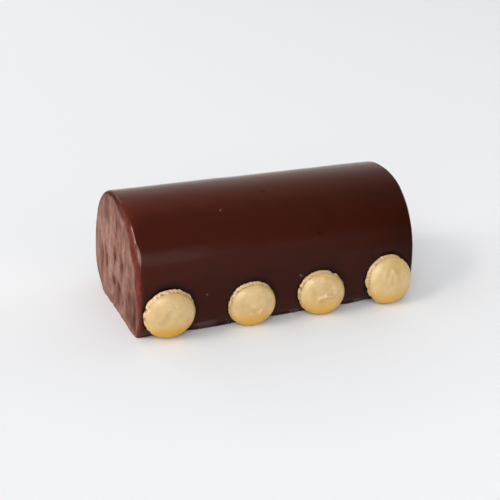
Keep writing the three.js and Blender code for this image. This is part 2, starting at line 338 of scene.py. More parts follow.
def rim_profile(turns):
    """How far the rim has gone out and in at its stops, in shares of its reach inwards."""
    way_round = np.linspace(0.0, 1.0, FINE_STOPS)
    turned = np.radians(np.interp(way_round, *zip(*turns)))
    outwards, inwards = np.cumsum(np.cos(turned)), np.cumsum(np.sin(turned))
    out = np.interp(RIM_STOPS, way_round, (outwards - outwards[0]) / inwards[-1])
    return out, np.interp(RIM_STOPS, way_round, (inwards - inwards[0]) / (inwards[-1] - inwards[0]))


rim_out, rim_in = rim_profile(RIM_TURNS)
soft_out, soft_in = rim_profile(SOFT_TURNS)
print("the rim is", rim_out[-1].round(2), "times as long as it reaches inwards, and",
      soft_out[-1].round(2), "times where it is soft")

# %% Rings of points from end to end
FACE_CORE = np.array([0.0, 0.44 * LOG_HEIGHT])
FACE_RINGS = 46
STRAIGHT_RINGS = 196
END_FRONT_EDGE = 0.8 * MM

frontness = (1.0 - outline_y / HALF_WIDTH) / 2.0
rounding = between(END_ROUND_BACK, END_ROUND_FRONT, frontness)
inward = outward.copy()
inward[:, 1] = np.maximum(inward[:, 1], 0.0)
edge_height = END_FRONT_EDGE * eased(frontness)
softness = np.exp(-np.abs((outline_z - SOFT_RIM_Z) / SOFT_RIM_REACH) ** 3) * (outline_y < 0)
# The left end's front edge stands out and has the soft part. The right end's is plain.
EDGE_HEIGHT = {-1: edge_height, 1: 0.0 * edge_height}
SOFTNESS = {-1: softness, 1: 0.0 * softness}


def rim_start(side):
    """Where the straight side ends and the rim starts, along the log."""
    length = rounding * between(rim_out[-1], soft_out[-1], SOFTNESS[side])
    return LOG_LENGTH / 2 + EDGE_HEIGHT[side] - length


def end_rings(side):
    """Rings of one end, from the middle of its face to where the straight side starts."""
    rings = []
    for plain_out, slow_out, plain_in, slow_in in zip(rim_out, soft_out, rim_in, soft_in):
        x = side * (rim_start(side) + rounding * between(plain_out, slow_out, SOFTNESS[side]))
        yz = outline - inward * (rounding * between(plain_in, slow_in, SOFTNESS[side]))[:, None]
        rings.append(np.column_stack([x, yz]))
    edge = rings[-1][:, 1:]
    for step in range(1, FACE_RINGS):
        share = 1.0 - step / FACE_RINGS
        yz = FACE_CORE + (edge - FACE_CORE) * share
        height = end_height(side, yz[:, 0], yz[:, 1], share, EDGE_HEIGHT[side])
        rings.append(np.column_stack([side * (LOG_LENGTH / 2 + height), yz]))
    return rings[::-1]


spread = np.linspace(0.0, 1.0, STRAIGHT_RINGS + 2)[1:-1]
straight_rings = [np.column_stack([between(-rim_start(-1), rim_start(1), share), outline])
                  for share in spread]
log_rings = np.array(end_rings(-1) + straight_rings + end_rings(1)[::-1])
print("rings along the log:", len(log_rings))

# %% Remember what each ring is
ring_count = len(log_rings)
ring = np.arange(ring_count)
from_middle = np.minimum(ring, ring_count - 1 - ring)
rim_step = np.clip(from_middle - (FACE_RINGS - 1), 0, len(RIM_STOPS))
share_round = np.append(np.array(RIM_STOPS)[::-1], 0.0)[rim_step]
on_face = from_middle < FACE_RINGS - 1
on_side = from_middle >= FACE_RINGS - 1 + len(RIM_STOPS)
at_left = ring < ring_count // 2
edge_out = np.where(at_left[:, None], edge_height, 0.0)
face_share = np.clip(from_middle / (FACE_RINGS - 1), 0.0, 1.0)[:, None]
print("rings on the faces and on the side:", on_face.sum(), on_side.sum())

# %% The band of red glaze that has run over the edge
BAND_WIDTH = 8.3 * MM
BAND_GROWTH = 10.8 * MM
BAND_BEHIND = -3.0 * MM  # below 0, so at the back the thin coat reaches round the edge
BAND_AT_BASE = 0.12
BAND_LOW_DOWN = 0.30
BAND_LAYERS = [(2.0 * MM, (0.1, 0.0065, 0.0065), 27), (1.0 * MM, (0.1, 0.0028, 0.0028), 28)]
BLUR_LAYER = (0.45, (0.1, 0.008, 0.008), 29)
BLUR_AT_BASE, BLUR_ABOVE = 6.5 * MM, 4.5 * MM
# Heights, and shares of the way from the back to the front, over which the band grows.
BAND_BASE_RISE, BAND_RISE = (0.5 * MM, 6 * MM), (8 * MM, 30 * MM)
BAND_TO_FRONT = (0.08, 0.38)

inset = np.linalg.norm(log_rings[..., 1:] - outline, axis=-1)
low_share = between(BAND_LOW_DOWN, 1.0, eased(outline_z, *BAND_RISE))
base_share = between(BAND_AT_BASE, 1.0, eased(outline_z, *BAND_BASE_RISE)) * low_share
band = np.minimum(BAND_WIDTH, BAND_GROWTH * frontness) * base_share
band = band + BAND_BEHIND * (1.0 - eased(frontness, *BAND_TO_FRONT))
band = with_noise(band, log_rings, BAND_LAYERS, base_share)
blur = with_noise(0.5, log_rings, [BLUR_LAYER]) * between(BLUR_AT_BASE, BLUR_ABOVE, low_share)
print("the red band is up to", in_mm(band.max()), "mm wide")

# %% Masks that steer the colour of the ends
# They run from 0 to 1: rim_mask is the red band, face_mask the paler end inside it, partly thin
# coat and partly painted light, crest_mask the narrow slant where the glaze is glassy, and
# soft_mask the place where it has gathered.
BAND_REDNESS = 0.62
SOFT_GLOSS = 0.68
# Shares of the way round the rim, or heights, over which a mask comes and goes.
COAT_RISE = (0.02, 0.35)
RED_RISE = (0.10, 0.34)
CREST_RISE, CREST_FALL = (0.05, 0.13), (0.28, 0.34)
SOFT_RISE, SOFT_FALL = (0.03, 0.09), (0.36, 0.44)
GLASSY_RISE, GLASSY_FALL = (53 * MM, 58 * MM), (65 * MM, 69 * MM)


def hump(value, rise, fall):
    """Up from 0 to 1 over one range of the value, and back to 0 over another."""
    return eased(value, *rise) * (1.0 - eased(value, *fall))


face_mask = np.where(on_side, 0.0, eased(share_round, *COAT_RISE))[:, None]
face_mask = face_mask * eased(inset, band - 0.5 * blur, band + 0.5 * blur)
rim_mask = np.where(on_side, 0.0, eased(share_round, *RED_RISE))
rim_mask = np.where(on_face, BAND_REDNESS, rim_mask)[:, None]
glassy = hump(outline_z, GLASSY_RISE, GLASSY_FALL) * (outline_y < 0)
crest_mask = np.where(on_side | on_face, 0.0, hump(share_round, CREST_RISE, CREST_FALL))
soft_mask = np.where(on_side | on_face | ~at_left, 0.0, hump(share_round, SOFT_RISE, SOFT_FALL))
soft_mask = soft_mask[:, None] * softness
crest_mask = np.maximum(crest_mask[:, None] * glassy, SOFT_GLOSS * soft_mask)
print("points with a glassy rim:", (crest_mask > 0.5).sum())

# %% [markdown]
# ## The shells' places
# Each macaron shell is flat at its back and leans on the log's belly with its lowest edge just
# off the table. Its place is worked out from the log: the back plane is moved out until it
# touches whatever part of the side stands out most, and then pressed a millimetre into the glaze.

# %% Where the shells sit
SHELLS = [
    dict(x=-73.6, z=16.9, radius=15.7, height=7.7, lean=-6.3, turn=0.0, oval=0.013, oval_turn=-27),
    dict(x=-21.5, z=14.7, radius=14.7, height=7.1, lean=-3.4, turn=-1.8, oval=0.032, oval_turn=-12),
    dict(x=24.7, z=14.9, radius=15.0, height=7.2, lean=1.9, turn=-1.8, oval=0.06, oval_turn=-21),
    dict(x=71.4, z=16.5, radius=15.9, height=7.7, lean=6.0, turn=-0.2, oval=0.012, oval_turn=-48),
]
SHELL_PRESS = 1.1 * MM


def shell_axes(shell):
    """A shell's middle on its back plane, and its ways across, up and out."""
    lean, swing = math.radians(shell["lean"]), math.radians(shell["turn"])
    out = np.array([math.sin(swing) * math.cos(lean), -math.cos(swing) * math.cos(lean),
                    math.sin(lean)])
    across = np.array([math.cos(swing), math.sin(swing), 0.0])
    up = np.cross(out, across)
    x, z, radius = (shell[key] * MM for key in ("x", "z", "radius"))
    middle = np.array([x, -float(half_width_at(z, BASE_FRONT)), z])
    front = outline[outline_y < 0]
    near = front[np.abs(front[:, 1] - z) <= radius * up[2]]
    side = np.column_stack([np.full(len(near), x), near]) - middle
    return middle + out * (float((side @ out).max()) - SHELL_PRESS), across, up, out


def shell_reach(shell, angle):
    """Distance from a shell's middle to its rim at an angle."""
    oval = shell["oval"] * np.cos(2.0 * (angle - math.radians(shell["oval_turn"])))
    return shell["radius"] * MM * (1.0 + oval)


for shell in SHELLS:
    print("shell at", in_mm(shell_axes(shell)[0]))

# %% [markdown]
# ## Glaze that gives way
# The glaze was still soft when the shells went on, so it is pressed flat behind each one and
# stands up in a thin wall round it. Along the foot it has run down and set in a low, uneven lip.
# All of these are small moves of the log's points, made once its plain form is right.

# %% Outward way at every point of the log
def outward_ways(rings):
    """The way out at each point of a skin of rings, from its neighbours."""
    around = np.roll(rings, -1, axis=1) - np.roll(rings, 1, axis=1)
    ways = np.cross(around, np.gradient(rings, axis=0))
    return ways / np.maximum(np.linalg.norm(ways, axis=-1, keepdims=True), 1e-12)


ways = outward_ways(log_rings)
print("the way out half way along:", ways[ring_count // 2, SECTION_POINTS // 4].round(2))

# %% Soft waves in the glaze
WAVE_HEIGHT = 0.13 * MM
WAVE_LAYERS = [(WAVE_HEIGHT, (0.034, 0.026, 0.026), 5),
               (0.30 * WAVE_HEIGHT, (0.012, 0.010, 0.010), 6)]
CREST_LAYER = (0.28 * MM, (0.1, 0.0075, 0.0075), 9)
CREST_REACH = 6 * MM
STILL_BELOW = 6 * MM

sideways = np.sqrt(np.clip(1.0 - np.abs(ways[..., 0]), 0.0, 1.0))
to_end = np.maximum(0.0, LOG_LENGTH / 2 + edge_out - np.abs(log_rings[..., 0]))
near_crest = bell(to_end / CREST_REACH)
height = with_noise(0.0, log_rings, WAVE_LAYERS)
height = with_noise(height, log_rings, [CREST_LAYER], near_crest)
off_base = np.clip(log_rings[..., 2] / STILL_BELOW, 0.0, 1.0)
log_rings = log_rings + ways * (height * off_base * sideways)[..., None]
print("the waves reach", in_mm(np.abs(height).max()), "mm")

# %% The lip along the foot
FOOT_WIDTH = 0.6 * MM
FOOT_HEIGHT = 2.6 * MM
FOOT_CORNER = 9 * MM
FOOT_LAYERS = [(0.35 * MM, (0.005, 0.005, 0.5), 13), (0.20 * MM, (0.0022, 0.0022, 0.5), 14)]
# Each row is a pool's x, y and reach, and how much wider and higher it is, in millimetres.
FOOT_POOLS_MM = [(-46, -42, 14, 1.9, 1.9), (2, -42, 10, 0.8, 0.5), (47, -42, 9, 1.0, 0.7),
                 (30, 33, 22, 1.1, 0.8)]

x, y, z = (log_rings[..., k] for k in range(3))
foot_width, foot_height = FOOT_WIDTH, FOOT_HEIGHT
for pool_x, pool_y, reach, more_width, more_height in np.array(FOOT_POOLS_MM) * MM:
    near = soft_spot(x, y, pool_x, pool_y, reach, reach)
    foot_width = foot_width + more_width * near
    foot_height = foot_height + more_height * near
foot_width = with_noise(foot_width, log_rings, FOOT_LAYERS)
base_middle = (BASE_BACK - BASE_FRONT) / 2
away_x = np.maximum(0.0, np.abs(x) - (LOG_LENGTH / 2 - FOOT_CORNER))
away_y = np.maximum(0.0, np.abs(y - base_middle) - ((BASE_BACK + BASE_FRONT) / 2 - FOOT_CORNER))
away = np.maximum(np.hypot(away_x, away_y), 1e-9)
drop = np.clip(1.0 - z / foot_height, 0.0, 1.0)
out = foot_width * drop**2 * np.minimum(1.0, away / FOOT_CORNER)
x += np.sign(x) * away_x / away * out
y += np.sign(y - base_middle) * away_y / away * out
print("the lip stands out up to", in_mm(out.max()), "mm")

# %% Press the glaze behind the shells
WALL_HEIGHT = 0.45 * MM
WALL_HALF_WIDTH = 1.0 * MM
WALL_INSIDE = 1.5 * MM
WALL_THICKNESS = 2.0 * MM
PRESSED_GAP = 0.05 * MM
PRESSED_SHARE = 0.97
# Painted shade round each shell: a dark band of glaze just outside its rim, wider above and to the
# right.
CONTACT_SHADE_WIDTH = 1.2 * MM
CONTACT_SHADE_MORE_ABOVE = 1.4 * MM
CONTACT_SHADE_SIDE_DEG = 50
FACING_DEPTH, CONTACT_SHADE_DEPTH = 8 * MM, 9 * MM
painted_shade_and_spots = np.zeros(log_rings.shape[:2])

for shell in SHELLS:
    middle, across, up, out_way = shell_axes(shell)
    offset = log_rings - middle
    a, b, w = offset @ across, offset @ up, offset @ out_way
    distance, angle = np.hypot(a, b), np.arctan2(b, a)
    rim = shell_reach(shell, angle)
    beyond = distance - rim
    facing = (w > -FACING_DEPTH) & (log_rings[..., 1] < 0)
    under = facing & (distance < rim * PRESSED_SHARE) & (w > -PRESSED_GAP)
    push = np.where(under, -PRESSED_GAP - w, 0.0)
    wall = bell(beyond / WALL_HALF_WIDTH) * (beyond > -WALL_INSIDE)
    push += WALL_HEIGHT * wall * bell(w / WALL_THICKNESS) * facing
    log_rings = log_rings + push[..., None] * out_way
    # The painted shade round this shell's rim, kept with the dark spots in one mask.
    above = np.maximum(0.0, np.cos(angle - math.radians(CONTACT_SHADE_SIDE_DEG)))
    width = CONTACT_SHADE_WIDTH + CONTACT_SHADE_MORE_ABOVE * above
    near_rim = bell(np.maximum(0.0, beyond) / width) * facing
    painted_shade_and_spots = np.maximum(painted_shade_and_spots, near_rim * (np.abs(w) < CONTACT_SHADE_DEPTH))
    print("pressed in by", in_mm(-push.min()), "mm")

# %% Glassy pools and dark spots
# Each row is a place on the surface and how far the pool or spot reaches, in millimetres.
POOLS_MM = [(-49, -43, 3, 6.5, 3), (10, -41, 1.5, 3, 1.5), (54, -41, 1.5, 3, 1.5)]
SPOTS_MM = [(24.5, -40.4, 51.0, 1.1), (-2.0, -15.1, 72.3, 1.3), (60.0, -46.0, 33.0, 0.9)]
POOL_DEPTH = 8 * MM
SPOT_DARKNESS = 0.8

x, y, z = (log_rings[..., k] for k in range(3))
for pool_x, pool_y, pool_z, reach_x, reach_z in np.array(POOLS_MM) * MM:
    pool = np.exp(-(((x - pool_x) / reach_x) ** 4) - ((z - pool_z) / reach_z) ** 4)
    crest_mask = np.maximum(crest_mask, pool * (y < pool_y + POOL_DEPTH))
for *place, reach in np.array(SPOTS_MM) * MM:
    gap = np.linalg.norm(log_rings - np.array(place), axis=-1)
    painted_shade_and_spots = np.maximum(painted_shade_and_spots, SPOT_DARKNESS * bell(gap / reach))
print("pools and spots:", len(POOLS_MM), len(SPOTS_MM))

# %% How light and warm the coat looks from place to place
# The coat is painted lighter and warmer towards the top as painted light from above, and darker low
# down as painted shade. The left end is painted lighter and the right end darker as painted falloff
# of the light, the glaze round each shell is darker as painted shade, and random tone is laid over
# it all.
WARMTH_BASE = 0.12
# Painted light from above: the colour steps lighter towards the top.
LIGHT_FROM_ABOVE_STEPS = [(0.14, 30 * MM, 50 * MM), (0.32, 66 * MM, 74.4 * MM)]
# Painted falloff of the light along the log: lighter at the left end, darker at the right.
FALLOFF_MIDDLE, FALLOFF_SLOPE, WARMTH_ZERO = 0.93, 0.20, 0.32
WARMTH_LAYERS = [(0.045, (0.045, 0.03, 0.03), 31), (0.045, (0.011, 0.009, 0.009), 32)]
CORNER_WARMTH = 0.75
CORNER_REACH_LOW, CORNER_REACH_TOP = 1.3 * MM, 6.0 * MM
CORNER_RISE = (62 * MM, 74 * MM)
COOL_BEHIND = 0.75
COOL_ROUND_RIM, COOL_TO_FRONT = (0.05, 0.40), (0.50, 0.75)
# Painted shade on the right end of the log, less of it near the top.
SHADE_AT_RIGHT, SHADE_LESS_UP = 0.40, 0.85
SHADE_ALONG, SHADE_RISE = (60 * MM, 86 * MM), (46 * MM, 66 * MM)

painted_light_and_tone = WARMTH_BASE + sum(more * eased(z, low, high) for more, low, high in LIGHT_FROM_ABOVE_STEPS)
falloff_along_log = FALLOFF_MIDDLE - FALLOFF_SLOPE * x / (LOG_LENGTH / 2)
painted_light_and_tone = (painted_light_and_tone + WARMTH_ZERO) * falloff_along_log - WARMTH_ZERO
warm_reach = between(CORNER_REACH_LOW, CORNER_REACH_TOP, eased(z, *CORNER_RISE))
painted_light_and_tone = painted_light_and_tone + CORNER_WARMTH * np.exp(-to_end / warm_reach) * at_left[:, None]
cool_rim = eased(share_round, *COOL_ROUND_RIM)[:, None] * (1.0 - eased(frontness, *COOL_TO_FRONT))
painted_light_and_tone = with_noise(painted_light_and_tone * (1.0 - COOL_BEHIND * cool_rim), log_rings, WARMTH_LAYERS)
right_shade_share = eased(x, *SHADE_ALONG) * (1.0 - SHADE_LESS_UP * eased(z, *SHADE_RISE))
painted_shade_and_spots = np.maximum(painted_shade_and_spots, SHADE_AT_RIGHT * right_shade_share)
print("warmth runs from", painted_light_and_tone.min().round(2), "to", painted_light_and_tone.max().round(2))

# %% How pale each place of the ends is
# Relief runs from 0, where the coat is darkest, to 1, where the palest crumb shows through. Hollows
# and pits are painted darker and bumps lighter, partly as painted shade and light and partly as
# thin coat over the crumb, and streaks of the crumb's own tone run over it.
RELIEF_BASE = 0.45
RELIEF_SPAN, RELIEF_MIDDLE = 1.25 * MM, 0.10 * MM
# How much paler it gets from one height to another.
RELIEF_STEPS = [(0.12, 1 * MM, 18 * MM), (0.06, 20 * MM, 40 * MM), (-0.26, 45 * MM, 62 * MM)]
# Painted light along the face's front edge and painted shade along its back edge.
EDGE_LIGHT_BACK, EDGE_LIGHT_FRONT, EDGE_LIGHT_REACH = -0.30, 0.12, 2.5 * MM
EDGE_LIGHT_TO_FRONT = (0.0, 0.8)
DARK_FRONT, DARK_FRONT_ACROSS = 0.20, (12 * MM, 28 * MM)
# Painted shade in the face's low front corner, beside the first shell.
CORNER_SHADE, CORNER_SHADE_PLACE = 0.32, (-38 * MM, 14 * MM, 15.5 * MM, 13 * MM)
STREAK_WANDER, WANDER_NOISE = 1.1 * MM, ((0.1, 0.004, 0.006), 25)
STREAK_LAYERS = [(0.19, (0.1, 0.0012, 0.0050), 24), (0.13, (0.1, 0.0050, 0.0080), 26)]
# Each clear pit is painted darker as shade, with a torn edge.
PIT_SHADE, PIT_TORN, TORN_NOISE = 0.52, 0.7, ((0.1, 0.0012, 0.0022), 33)

z[:] = np.maximum(z, 0.0)
smooth_end = END_BULGE * (1.0 - face_share**2) + edge_out * face_share**2
relief = RELIEF_BASE + (np.abs(x) - LOG_LENGTH / 2 - smooth_end + RELIEF_MIDDLE) / RELIEF_SPAN
edge_light = between(EDGE_LIGHT_BACK, EDGE_LIGHT_FRONT, eased(frontness, *EDGE_LIGHT_TO_FRONT))
in_from_band = (inset - band - EDGE_LIGHT_REACH) / EDGE_LIGHT_REACH
relief = relief + edge_light * bell(in_from_band)
wander = STREAK_WANDER * soft_noise(log_rings, *WANDER_NOISE)
streak_place = log_rings + wander[..., None]
relief = with_noise(relief, streak_place, STREAK_LAYERS)
relief = relief + sum(more * eased(z, low, high) for more, low, high in RELIEF_STEPS)
relief = relief - CORNER_SHADE * soft_spot(y, z, *CORNER_SHADE_PLACE)
relief = relief - DARK_FRONT * eased(-y, *DARK_FRONT_ACROSS)
torn_edge = 1.0 + PIT_TORN * soft_noise(streak_place, *TORN_NOISE)
for *pit, depth in clear_pits:
    torn = np.clip(soft_spot(y, z, *pit) * torn_edge, 0.0, 1.0)
    relief = relief - PIT_SHADE * depth / MM * torn * at_left[:, None]
relief = np.where(on_side[:, None], 0.5, np.clip(relief, 0.0, 1.0))
print("mean relief of the left end:", relief[on_face & at_left].mean().round(2))

# %% Make the log's mesh
RED_SOFT = 0.8
RED_AT_BASE, RED_BASE_RISE = 0.30, (6 * MM, 30 * MM)
RED_LESS_ON_TOP, RED_TOP_RISE = 0.82, (60 * MM, 72.5 * MM)
RED_BEHIND, RED_TO_FRONT = 0.2, (0.45, 0.75)

first_point, last_point = (np.append([log_rings[end, :, 0].mean()], FACE_CORE) for end in (0, -1))
log = skin_rings("glaze_over_log", (log_rings, first_point, last_point))
rim_red = np.maximum(rim_mask, RED_SOFT * soft_mask)
rim_red = rim_red * between(RED_AT_BASE, 1.0, eased(z, *RED_BASE_RISE))
rim_red = rim_red * (1.0 - RED_LESS_ON_TOP * eased(z, *RED_TOP_RISE))
rim_red = rim_red * between(RED_BEHIND, 1.0, eased(frontness, *RED_TO_FRONT))
for name, values, at_tips in (("end_face", face_mask, 1.0), ("rim", rim_red, 1.0),
                              ("crest", crest_mask, 0.0), ("relief", relief, 0.5),
                              ("painted_light_and_tone", np.clip(painted_light_and_tone, 0.0, 1.0), 0.4),
                              ("painted_shade_and_spots", painted_shade_and_spots, 0.0)):
    store_shares(log, name, values, at_tips)
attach(log, "root")
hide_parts("glazed_log")

# %% [markdown]
# ## Bubbles in the glaze
# Here and there a bubble rose in the glaze and set as a tiny blister. Each one is a low dome that
# stands on the nearest point of the log. They are too small for the log's own mesh.

# %% Place the bubbles
# Each row is a place near the surface and the blister's radius, in millimetres.
BUBBLES_MM = [
    (-34.5, -25.8, 67.3, 0.9), (-50.5, -47.0, 25.3, 0.9), (10.5, -46.9, 27.3, 1.3),
    (10.3, -40.5, 1.6, 0.9), (54.4, -40.3, 1.6, 0.9), (-34.0, -41.5, 2.0, 0.8),
]
BUBBLE_SIDES = 16
BUBBLE_LEVELS = (-0.3, 0.2, 0.5, 0.8)
BUBBLE_TIP, BUBBLE_ROOT = 0.5, 0.3
BUBBLE_WARMTH = 0.2


def circle_angles(count):
    return np.linspace(0.0, 2.0 * math.pi, count, endpoint=False)


def bubble_skin(place, radius):
    """One blister's rings, root and tip, on the point of the log nearest to a place."""
    gap = np.linalg.norm(log_rings - place, axis=-1)
    nearest = np.unravel_index(int(gap.argmin()), gap.shape)
    foot, out = log_rings[nearest], Vector(ways[nearest]).normalized()
    across = out.orthogonal().normalized()
    out, across, up = (np.array(way) for way in (out, across, out.cross(across)))
    angle = circle_angles(BUBBLE_SIDES)[:, None]
    circle = across * np.cos(angle) + up * np.sin(angle)
    rings = [foot + (circle * math.sqrt(1.0 - lift * lift) + out * lift * BUBBLE_TIP) * radius
             for lift in BUBBLE_LEVELS]
    return np.array(rings), foot - out * radius * BUBBLE_ROOT, foot + out * radius * BUBBLE_TIP


ways = outward_ways(log_rings)
skins = [bubble_skin(np.array(place), radius) for *place, radius in np.array(BUBBLES_MM) * MM]
bubbles = skin_rings("glaze_bubbles", *skins)
store_shares(bubbles, "crest", 1.0, 1.0)
store_shares(bubbles, "painted_light_and_tone", BUBBLE_WARMTH, BUBBLE_WARMTH)
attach(bubbles, "root")

# %% [markdown]
# ## The macaron shells
# A baked shell has a smooth, faintly glossy dome and, under it, the frilled foot that rises in
# the oven. Between the two runs a groove with small torn holes. The piping leaves a soft peak or
# a tail on some domes. One profile, turned round, gives the body, and the frill, the holes and
# the marks are moves of its points, so each shell can have its own.

# %% What is particular to each shell
# shift is how far the dome sits off the foot's middle, in shares of the radius, and painted_bounce
# is how strongly warm light bounced up from below is painted on the lower dome. Each hole is an
# angle in degrees from the level right-hand side, a half width in degrees and a strength. Each mark
# is a ridge on the dome from one point to another, in shares of the radius, with a half width and a
# height in millimetres. Each nick in the foot is an angle, a half width in degrees and a depth in
# shares of the radius.
SHELL_DETAILS = [
    dict(seed=41, shift=(0.012, -0.028), painted_bounce=1.3,
         holes=[(181, 3, 1.4), (171, 2, 0.5), (161, 2.8, 1.3), (150, 2, 0.8), (141, 1.6, 0.6),
                (131, 2, 0.7), (120, 3.2, 0.8), (109, 3.4, 1), (100, 1.8, 0.7), (91, 2.6, 0.8),
                (81, 2, 0.7), (71, 5, 1), (60, 2, 0.6), (50, 2.6, 0.9), (38, 1.6, 0.5)],
         marks=[((-0.4, 0.08), (-0.26, 0.34), 2.2, 0.8), ((-0.26, 0.34), (-0.06, 0.44), 2.2, 0.7),
                ((-0.06, 0.2), (-0.12, 0), 2.4, -0.2)],
         nicks=[(163, 4, 0.075), (138, 7, 0.02), (32, 5, 0.03)]),
    dict(seed=42, shift=(0.012, -0.038), painted_bounce=0.97,
         holes=[(172, 1.6, 0.5), (163, 3.2, 1.3), (155, 2, 0.7), (144, 1.6, 0.4), (134, 3, 1.3),
                (121, 2, 0.6), (112, 5, 0.8), (100, 2, 0.5), (91, 3.4, 0.8), (77, 2.6, 0.5),
                (62, 4, 0.6), (50, 2.6, 0.8), (40, 1.8, 0.5)],
         marks=[((0.27, -0.08), (0.24, -0.28), 1.4, 1.3), ((0.16, -0.33), (-0.14, -0.31), 1.4, 0.7),
                ((0.22, -0.02), (0, 0.02), 1.4, 0.8), ((0.4, -0.04), (0.38, -0.22), 1.3, 0.7),
                ((-0.3, 0.66), (0.2, 0.72), 1, -0.3), ((0, -0.12), (0.08, -0.18), 1.8, -0.4)],
         nicks=[(20, 6, 0.015), (66, 5, 0.02)]),
    dict(seed=43, shift=(0.01, -0.036), painted_bounce=0.95,
         holes=[(186, 2.6, 0.6), (175, 2, 0.5), (161, 3.4, 1.2), (147, 3.4, 1), (140, 1.6, 0.4),
                (131, 2, 0.5), (118, 2.6, 0.6), (104, 3, 0.5), (86, 3, 0.4), (52, 2.4, 0.5),
                (33, 2, 0.4)],
         marks=[((-0.24, -0.15), (0.06, -0.05), 1.3, 1.15),
                ((0.06, -0.05), (0.38, -0.08), 1.4, 1.35), ((0.38, -0.08), (0.56, 0.06), 1.5, 0.8),
                ((0.56, 0.06), (0.48, 0.22), 1.8, 0.6), ((-0.06, -0.3), (0.3, -0.3), 2.4, -0.4)],
         nicks=[(58, 5, 0.05), (196, 6, 0.015)]),
    dict(seed=44, shift=(0.024, -0.012), painted_bounce=0.9,
         holes=[(184, 2, 0.5), (173, 2.4, 0.6), (160, 2, 0.5), (145, 2.6, 0.6), (128, 3, 0.7),
                (117, 2.6, 0.6), (102, 2, 0.4), (217, 3, 0.8), (226, 2, 0.6), (193, 2.2, 0.6)],
         marks=[((0.05, 0.38), (0.16, 0.08), 1.7, 0.85), ((0.05, 0.38), (-0.13, 0.14), 1.7, 0.65),
                ((0.02, 0.14), (0.02, 0), 1.8, -0.4), ((-0.36, 0.1), (-0.3, 0.36), 1.8, 0.6)],
         nicks=[(196, 5, 0.035), (222, 6, 0.025), (234, 5, 0.02)]),
]
print("holes on each shell's visible side:", [len(d["holes"]) for d in SHELL_DETAILS])

# %% A shell's profile, from its back to the top of its dome
AROUND_SHELL = 360
# Share of the radius, share of the height, and how strongly the frill moves the point.
FOOT_PROFILE = [
    (0.935, 0.000, 0.3), (0.965, 0.015, 0.6), (0.984, 0.040, 0.9), (0.996, 0.070, 1.0),
    (1.003, 0.105, 1.0), (1.004, 0.145, 1.0), (1.000, 0.185, 1.0), (0.992, 0.225, 0.9),
    (0.986, 0.265, 0.9), (0.978, 0.300, 0.75), (0.967, 0.332, 0.55), (0.956, 0.360, 0.35),
    (0.949, 0.385, 0.2), (0.947, 0.405, 0.15), (0.950, 0.422, 0.1),
]
BACK_RINGS, DOME_RINGS = 6, 44
GROOVE_RISE = 0.385
DOME_RADIUS, DOME_RISE = 0.955, 0.44
DOME_FLATNESS = 3.4  # 2 gives an even dome, and more gives a flat top and a round shoulder
DOME_SHOULDER = 0.68
DOME_CROWDING = 1.10


def profile_rows():
    """Rows of radius share, height share, frill strength and dome share."""
    rows = [(FOOT_PROFILE[0][0] * k / BACK_RINGS, 0.0, 0.0, 0.0) for k in range(1, BACK_RINGS)]
    rows += [(radius, rise, frill, rise / DOME_RISE) for radius, rise, frill in FOOT_PROFILE]
    for k in range(DOME_RINGS):
        inner = math.cos(math.pi / 2 * (k / DOME_RINGS) ** DOME_CROWDING)
        crown = (1.0 - inner**DOME_FLATNESS) ** DOME_SHOULDER
        rows.append((DOME_RADIUS * inner, between(DOME_RISE, 1.0, crown), 0.0, 1.0))
    return np.array(rows)


print("rows in a shell's profile:", len(profile_rows()))

# %% Holes and marks
FAINT_HOLES = 36
HOLE_DEPTH = 0.042
# Ranges of the random draws. A given hole is moved by some degrees and made wider, and a faint
# one has a half width in degrees and a strength. Both sit off the groove by shares of the height.
HOLE_SHIFT_DEG, HOLE_WIDER, HOLE_OFF_GROOVE = (-2, 2), (1.1, 2.1), (-0.13, 0.0)
FAINT_HALF_WIDTH, FAINT_STRENGTH, FAINT_OFF_GROOVE = (0.8, 2.0), (0.2, 0.6), (-0.24, 0.02)
HOLE_HALF_HEIGHT = (0.050, 0.110)
TYPICAL_RADIUS, TYPICAL_HEIGHT = 15 * MM, 8 * MM


def gap_degrees(angle, centre):
    """Degrees from one angle in radians to others, the short way round."""
    return np.degrees(np.angle(np.exp(1j * (angle - centre))))


def hole_pattern(detail, draw, angle, rise):
    """How deep the torn holes are at each point, from 0 to 1."""
    # Each hole: its angle, its half width in degrees, its strength, and how far off the groove.
    holes = [(math.radians(centre + draw.uniform(*HOLE_SHIFT_DEG)),
              draw.uniform(*HOLE_WIDER) * half_width, strength, draw.uniform(*HOLE_OFF_GROOVE))
             for centre, half_width, strength in detail["holes"]]
    holes += [(draw.uniform(0, 2 * math.pi), draw.uniform(*FAINT_HALF_WIDTH),
               draw.uniform(*FAINT_STRENGTH), draw.uniform(*FAINT_OFF_GROOVE))
              for _ in range(FAINT_HOLES)]
    pattern = np.zeros((len(rise), len(angle)))
    for centre, half_width, strength, off_groove in holes:
        gap, tall = gap_degrees(angle, centre), draw.uniform(*HOLE_HALF_HEIGHT)
        form = soft_spot(gap, rise, 0.0, GROOVE_RISE + off_groove, half_width, tall)
        pattern = np.maximum(pattern, strength * form)
    return pattern


def mark_height(detail, a, b):
    """Height in metres of the ridges and valleys that piping left on the dome."""
    ridges, valleys = np.zeros_like(a), np.zeros_like(a)
    for start, end, half_width, peak in detail["marks"]:
        start, way = np.array(start), np.array(end) - np.array(start)
        share = np.clip(((a - start[0]) * way[0] + (b - start[1]) * way[1]) / (way @ way), 0, 1)
        away = np.hypot(a - start[0] - share * way[0], b - start[1] - share * way[1])
        form = peak * MM * bell(away * TYPICAL_RADIUS / (half_width * MM))
        ridges, valleys = np.maximum(ridges, form), np.minimum(valleys, form)
    return ridges + valleys


print("a hole is up to", in_mm(HOLE_DEPTH * TYPICAL_RADIUS), "mm deep")

# %% Build the shells
FRILL_HEIGHT = 0.040
